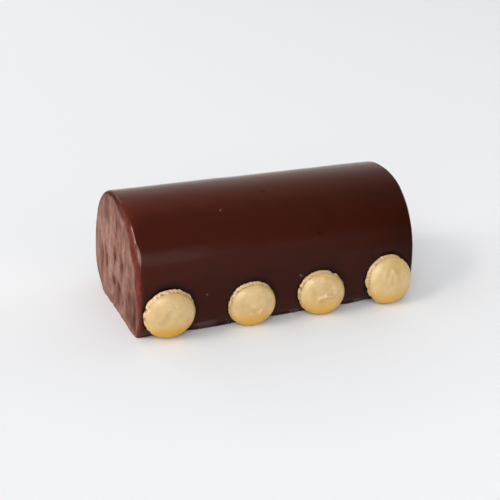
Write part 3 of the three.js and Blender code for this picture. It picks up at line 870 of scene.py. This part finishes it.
# Strength, size, and seed on top of the shell's own.
FRILL_LAYERS = [(0.50, (0.0014, 0.0014, 0.0018), 0), (0.65, (0.0045, 0.0045, 0.009), 9),
                (0.32, (0.0007, 0.0007, 0.0009), 17)]
DOME_LAYERS = [(0.17 * MM, 0.0062, 4), (0.05 * MM, 0.0019, 5)]
# Shares of the height: over which the dome's marks come in, and the middle and width of two tints.
ON_DOME = (0.50, 0.75)
FOOT_BAND, GROOVE_BAND = (0.17, 0.13), (GROOVE_RISE, 0.045)
# Heights over which the painted warm bounce light on the lower dome fades out.
BOUNCE_LOW, BOUNCE_HIGH = 2.0 * MM, 15.5 * MM


def build_shell(number, shell, detail):
    """A closed macaron shell, already in its place on the log."""
    seed, unit = detail["seed"], shell["radius"] * MM
    angle = circle_angles(AROUND_SHELL)
    radius_share, rise, frill, dome = profile_rows().T[..., None]
    circle = np.stack([np.cos(angle), np.sin(angle), 0.0 * angle], -1)
    lift = np.array([0, 0, TYPICAL_HEIGHT]) * rise[..., None]
    wave = with_noise(0.0, circle * TYPICAL_RADIUS + lift, FRILL_LAYERS, first_seed=seed)
    holes = hole_pattern(detail, np.random.default_rng(seed), angle, rise)
    share = radius_share + FRILL_HEIGHT * frill * wave - HOLE_DEPTH * holes
    for centre, half_width, depth in detail["nicks"]:
        gap = gap_degrees(angle, math.radians(centre))
        share = share - depth * bell(gap / half_width) * frill
    reach = shell_reach(shell, angle) * share
    a = reach * np.cos(angle) + detail["shift"][0] * dome * unit
    b = reach * np.sin(angle) + detail["shift"][1] * dome * unit
    on_dome = dome * np.clip((rise - ON_DOME[0]) / (ON_DOME[1] - ON_DOME[0]), 0, 1)
    w = rise * shell["height"] * MM + mark_height(detail, a / unit, b / unit) * on_dome
    w = with_noise(w, np.stack([a, b, w], -1), DOME_LAYERS, on_dome, seed)
    middle, across, up, out_way = shell_axes(shell)
    rings = middle + a[..., None] * across + b[..., None] * up + w[..., None] * out_way
    piece = skin_rings(f"shell_crust_{number}", (rings, middle, rings[-1].mean(axis=0)))
    bands = [bell((rise - place) / width) for place, width in (FOOT_BAND, GROOVE_BAND)]
    painted_bounce = detail["painted_bounce"] * (1.0 - eased(rings[..., 2], BOUNCE_LOW, BOUNCE_HIGH))
    shares = (holes, *bands, np.minimum(painted_bounce, 1.0))
    for name, values in zip(("torn", "foot", "groove", "painted_bounce"), shares):
        store_shares(piece, name, np.broadcast_to(values, a.shape))
    print("  lowest point", in_mm(rings[..., 2].min()), "mm up")
    return piece


shell_pieces = []
for number, (shell, detail) in enumerate(zip(SHELLS, SHELL_DETAILS), start=1):
    piece = build_shell(number, shell, detail)
    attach(piece, "root")
    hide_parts(f"macaron_shell_{number}")
    shell_pieces.append(piece)

# %% [markdown]
# ## The glaze as a material
# Chocolate glaze is a thin, even, very dark brown skin with a soft shine. Its colour hardly
# changes, so what one reads as gloss is the light it returns near its edges. The cut ends look
# paler and rougher: partly because the coat is thin there and the crumb shows through, and partly
# as painted light from the lamps on the left and painted reflection of the pale table behind.

# %% Small helpers for shader nodes
def fill_in(tree, node, inputs):
    """Gives inputs, by name or number, a link from another node or a plain value."""
    for key, value in inputs.items():
        if isinstance(value, bpy.types.NodeSocket):
            tree.links.new(value, node.inputs[key])
        else:
            node.inputs[key].default_value = value


def add_node(tree, kind, inputs=None, **settings):
    """A new shader node, with its settings made and some of its inputs filled in."""
    node = tree.nodes.new(kind)
    for key, value in settings.items():
        setattr(node, key, value)
    fill_in(tree, node, inputs or {})
    return node


def new_material(name):
    """A material with its node tree and its main shader."""
    material = bpy.data.materials.new(name)
    material.use_nodes = True
    print("material", name)
    return material, material.node_tree, material.node_tree.nodes["Principled BSDF"]


def color_mix(tree, factor, low, high):
    """A mix of two colours. Each argument is a socket, a number or a colour."""
    inputs = {0: factor, 6: low, 7: high}
    return add_node(tree, "ShaderNodeMix", inputs, data_type="RGBA").outputs[2]


def stretched(tree, value, low=0.0, high=1.0, least=0.0, most=1.0):
    """A number, stretched so that `low` gives `least` and `high` gives `most`."""
    inputs = {"Value": value, "From Min": low, "From Max": high, "To Min": least, "To Max": most}
    return add_node(tree, "ShaderNodeMapRange", inputs).outputs["Result"]


def noise_share(tree, scale, detail, *ranges):
    """Noise in object space, stretched over the ranges that `stretched` takes."""
    place = add_node(tree, "ShaderNodeTexCoord").outputs["Object"]
    inputs = {"Vector": place, "Scale": scale, "Detail": detail}
    return stretched(tree, add_node(tree, "ShaderNodeTexNoise", inputs).outputs["Fac"], *ranges)


def point_share(tree, name):
    """One of the numbers kept at each point, as a socket."""
    return add_node(tree, "ShaderNodeAttribute", attribute_name=name).outputs["Fac"]


def color_layers(tree, color, layers):
    """A colour with others laid over it, each where the named number at the points says."""
    for name, over in layers:
        color = color_mix(tree, point_share(tree, name), color, over)
    return color


def ramp_color(tree, factor, stops):
    """A colour ramp through (place, colour) stops."""
    node = add_node(tree, "ShaderNodeValToRGB", {"Fac": factor})
    elements = node.color_ramp.elements
    while len(elements) < len(stops):
        elements.new(0.5)
    for element, (place, color) in zip(elements, stops):
        element.position, element.color = place, color
    return node.outputs["Color"]


def fine_relief(tree, heights, strength, distance):
    """Relief too fine for the mesh, from a number that stands for height."""
    inputs = {"Height": heights, "Strength": strength, "Distance": distance}
    return add_node(tree, "ShaderNodeBump", inputs).outputs["Normal"]

# %% Colours of the glaze
# GLAZE_LIT is laid over GLAZE_DARK as painted light and random tone.
GLAZE_DARK = (0.0258, 0.0039, 0.0014, 1.0)
GLAZE_LIT = (0.093, 0.0155, 0.0068, 1.0)
# The colour of the painted shade round the shells and at the right end, and of the dark spots.
GLAZE_SHADE_AND_SPOTS = (0.008, 0.0014, 0.0007, 1.0)
RIM_RED = (0.185, 0.036, 0.0235, 1.0)
RIM_DARK = (0.100, 0.0185, 0.0110, 1.0)
# The end's colours, paler than the side: partly thin coat, partly painted light and painted
# reflection.
END_STOPS = [(0.0, (0.065, 0.0175, 0.0116, 1.0)), (0.28, (0.155, 0.063, 0.0455, 1.0)),
             (0.56, (0.259, 0.131, 0.097, 1.0)), (1.0, (0.400, 0.238, 0.185, 1.0))]
# Scale and detail of a noise, and the range that it is stretched from.
RIM_MOTTLE, END_MOTTLE = (260.0, 2.0, 0.38, 0.66), (330.0, 2.0, 0.42, 0.95)
HAZE, SKIN_GRAIN = (85.0, 5.0, 0.35, 0.68), (900.0, 2.0, 0.3, 0.7)
HAZE_LEAST, HAZE_MOST = 0.80, 1.35


def glaze_material(name, roughness, specular):
    """The glaze, in one finish for the glassy side and one for the ends, where it is dull."""
    material, tree, shader = new_material(name)
    rim_color = color_mix(tree, noise_share(tree, *RIM_MOTTLE), RIM_DARK, RIM_RED)
    end_color = ramp_color(tree, point_share(tree, "relief"), END_STOPS)
    end_color = color_mix(tree, noise_share(tree, *END_MOTTLE), end_color, END_STOPS[1][1])
    color = color_layers(tree, GLAZE_DARK, [("painted_light_and_tone", GLAZE_LIT), ("painted_shade_and_spots", GLAZE_SHADE_AND_SPOTS),
                                             ("rim", rim_color), ("end_face", end_color)])
    fill_in(tree, shader, {
        "Base Color": color,
        "Roughness": noise_share(tree, *HAZE, HAZE_LEAST * roughness, HAZE_MOST * roughness),
        "Specular IOR Level": specular,
        "Coat Weight": point_share(tree, "crest"),
        "Coat Roughness": 0.10,
        "Normal": fine_relief(tree, noise_share(tree, *SKIN_GRAIN), 0.05, 0.3 * MM),
    })
    return material

# %% Give the side and the ends their finish
SIDE_ROUGHNESS, SIDE_SPECULAR = 0.17, 0.10
END_ROUGHNESS, END_SPECULAR = 0.45, 0.02
DULL_FROM = 0.30

log.data.materials.append(glaze_material("chocolate_glaze", SIDE_ROUGHNESS, SIDE_SPECULAR))
bubbles.data.materials.append(log.data.materials[0])
log.data.materials.append(glaze_material("chocolate_glaze_ends", END_ROUGHNESS, END_SPECULAR))
dull_ring = on_face | (~on_side & (share_round > DULL_FROM))
dull_point = np.concatenate([[True], np.repeat(dull_ring, SECTION_POINTS), [True]])
finish = [int(dull_point[list(face.vertices)].all()) for face in log.data.polygons]
log.data.polygons.foreach_set("material_index", finish)
print("faces with the dull finish:", sum(finish), "of", len(finish))

# %% [markdown]
# ## The shells as a material
# The crust is cream with a hint of yellow, matt low down and faintly satin over the dome. The
# torn holes are a darker brown, and the lower dome is painted more golden as painted warm light
# bounced up from below.

# %% Macaron crust
CRUST_PALE = (0.650, 0.461, 0.194, 1.0)
CRUST_DEEP = (0.560, 0.375, 0.138, 1.0)
# Painted warm bounce light on the lower dome.
CRUST_BOUNCE_GOLD = (0.625, 0.325, 0.005, 1.0)
HOLE_BROWN = (0.330, 0.180, 0.040, 1.0)
FRILL_PALE = (0.660, 0.455, 0.257, 1.0)
GROOVE_TAN = (0.600, 0.395, 0.180, 1.0)
CRUST_MOTTLE, CRUST_GRAIN = (160.0, 4.0, 0.35, 0.65), (1500.0, 3.0, 0.3, 0.7)
HOLE_FROM, HOLE_TO = 0.25, 0.80
SATIN, MATT = 0.32, 0.90

crust, tree, shader = new_material("macaron_crust")
crust_color = color_mix(tree, noise_share(tree, *CRUST_MOTTLE), CRUST_DEEP, CRUST_PALE)
crust_color = color_layers(tree, crust_color, [("foot", FRILL_PALE), ("groove", GROOVE_TAN),
                                               ("painted_bounce", CRUST_BOUNCE_GOLD)])
torn = stretched(tree, point_share(tree, "torn"), HOLE_FROM, HOLE_TO)
fill_in(tree, shader, {
    "Base Color": color_mix(tree, torn, crust_color, HOLE_BROWN),
    "Roughness": stretched(tree, point_share(tree, "painted_bounce"), 0.0, 1.0, SATIN, MATT),
    "IOR": 1.6,
    "Specular IOR Level": 0.90,
    "Subsurface Weight": 0.12,
    "Subsurface Radius": (2.5 * MM, 1.5 * MM, 0.7 * MM),
    "Subsurface Scale": 1.0,
    "Normal": fine_relief(tree, noise_share(tree, *CRUST_GRAIN), 0.18, 0.5 * MM),
})
for piece in shell_pieces:
    piece.data.materials.append(crust)
print("crust on", len(shell_pieces), "shells")

# %% [markdown]
# ## Table and sky
# The cake stands on a plain pale surface in a soft white studio. Dark glaze is a mirror for that
# studio: its side shows what is in front to the right, its top shows what is behind. So the sky
# is brightest low down behind, a little brighter on the left, and dim overhead and at the front
# right, and that alone gives the grey sheen along the top and the deep brown below it.

# %% Floor
FLOOR_COLOR = (0.898, 0.950, 1.0, 1.0)

bpy.ops.mesh.primitive_plane_add(size=30.0, location=(0, 0, 0))
floor = bpy.context.object
floor.name = "floor"
material, tree, shader = new_material("floor")
fill_in(tree, shader, {"Base Color": FLOOR_COLOR, "Roughness": 0.70, "Specular IOR Level": 0.12})
floor.data.materials.append(material)

# %% Sky that is brighter behind and on the left
SKY_ALL_ROUND = 0.40
SKY_ABOVE = 0.07
SKY_BEHIND = 0.57
SKY_LOW = 0.20
SKY_LEFT = 0.20
SKY_DIM_FRONT_RIGHT = 3.2
SKY_LEAST = 0.05
BEHIND_X, BEHIND_Y, BEHIND_POWER = 0.75, 0.66, 1.5
HEIGHT_POWER = 2.0
DIM_FROM_X = 0.36
SKY_COLOR = (1.0, 0.985, 0.965, 1.0)
SKY_COLOR_BEHIND = (1.0, 0.892, 0.815, 1.0)

scene.world = bpy.data.worlds.new("studio")
scene.world.use_nodes = True
tree = scene.world.node_tree
direction = add_node(tree, "ShaderNodeTexCoord").outputs["Generated"]
to_right, to_back, to_top = add_node(tree, "ShaderNodeSeparateXYZ", {0: direction}).outputs


def calculate(first, operation, second):
    """The result of a sum on two sockets or numbers."""
    return add_node(tree, "ShaderNodeMath", {0: first, 1: second}, operation=operation).outputs[0]


def positive(value):
    return calculate(value, "MAXIMUM", 0.0)


across = calculate(to_right, "MULTIPLY", BEHIND_X)
backwards = calculate(across, "ADD", calculate(to_back, "MULTIPLY", BEHIND_Y))
behind = calculate(positive(backwards), "POWER", BEHIND_POWER)
above = calculate(positive(to_top), "POWER", HEIGHT_POWER)
low = calculate(calculate(1.0, "SUBTRACT", positive(to_top)), "POWER", HEIGHT_POWER)
left = positive(calculate(to_right, "MULTIPLY", -1.0))
rightwards = positive(calculate(to_right, "SUBTRACT", DIM_FROM_X))
front_right = calculate(rightwards, "MULTIPLY", positive(calculate(to_back, "MULTIPLY", -1.0)))
sky = SKY_ALL_ROUND
for share, more in ((behind, SKY_BEHIND), (above, SKY_ABOVE), (low, SKY_LOW), (left, SKY_LEFT),
                    (front_right, -SKY_DIM_FRONT_RIGHT)):
    sky = calculate(sky, "ADD", calculate(share, "MULTIPLY", more))
fill_in(tree, tree.nodes["Background"], {
    "Color": color_mix(tree, behind, SKY_COLOR, SKY_COLOR_BEHIND),
    "Strength": calculate(sky, "MAXIMUM", SKY_LEAST),
})
print("sky from", SKY_ALL_ROUND, "to", round(SKY_ALL_ROUND + SKY_BEHIND + SKY_LOW, 2), "behind")

# %% [markdown]
# ## Lights
# A broad light at the front left models the domes and never shows in the log's side, because a
# straight side can't mirror what stands on the left of the lens. A narrow strip, high on the left,
# draws the bright line on the rim's slant. A window low on the left lays the long soft shadow to
# the right, and a wash from behind keeps the far table pale. Two faint cards in front, one bright
# and small, one low and wide, are what the glaze's side mirrors as its patch of sheen.

# %% Area lights
KEY_COLOR = (1.0, 0.99, 0.98)
STRIP_COLOR = (1.0, 0.84, 0.77)


def soft_box(name, direction, distance, size, watts, color=KEY_COLOR,
             long_way=(1, 0, 0), aim=(0, 0, 0.03)):
    """An area light seen from `aim` in a direction, its width laid along `long_way`."""
    back = Vector(direction).normalized()
    wide = (Vector(long_way) - back * back.dot(Vector(long_way))).normalized()
    data = bpy.data.lights.new(name, "AREA")
    data.shape = "RECTANGLE"
    data.size, data.size_y = size
    data.energy = watts
    data.color = color
    lamp = new_object(name, data)
    lamp.matrix_world = Matrix((wide, back.cross(wide), back)).transposed().to_4x4()
    lamp.location = Vector(aim) + back * distance
    print(name, "gives", watts, "W from", [round(v, 2) for v in lamp.location])


soft_box("key_front_left", (-0.457, -0.762, 0.457), 20.0, (11.5, 11.5), 1625)
soft_box("strip_left", (-0.735, -0.13, 0.645), 8.0, (3.7, 0.95), 150, STRIP_COLOR,
         long_way=(-0.09, -0.35, -0.17), aim=(-0.090, -0.030, 0.062))
soft_box("window_left", (-0.96, 0.11, 0.21), 4.0, (1.0, 0.8), 35.0, long_way=(0, 1, 0))
soft_box("card_front", (0.11, -0.87, 0.45), 1.0, (0.32, 0.26), 0.58)
soft_box("card_low", (0.32, -0.99, 0.20), 1.06, (0.54, 0.50), 0.45)
soft_box("wash_behind", (-0.31, 0.83, 0.47), 1.93, (0.5, 0.5), 1.75)
scene.view_settings.view_transform = "Standard"
scene.view_settings.look = "None"
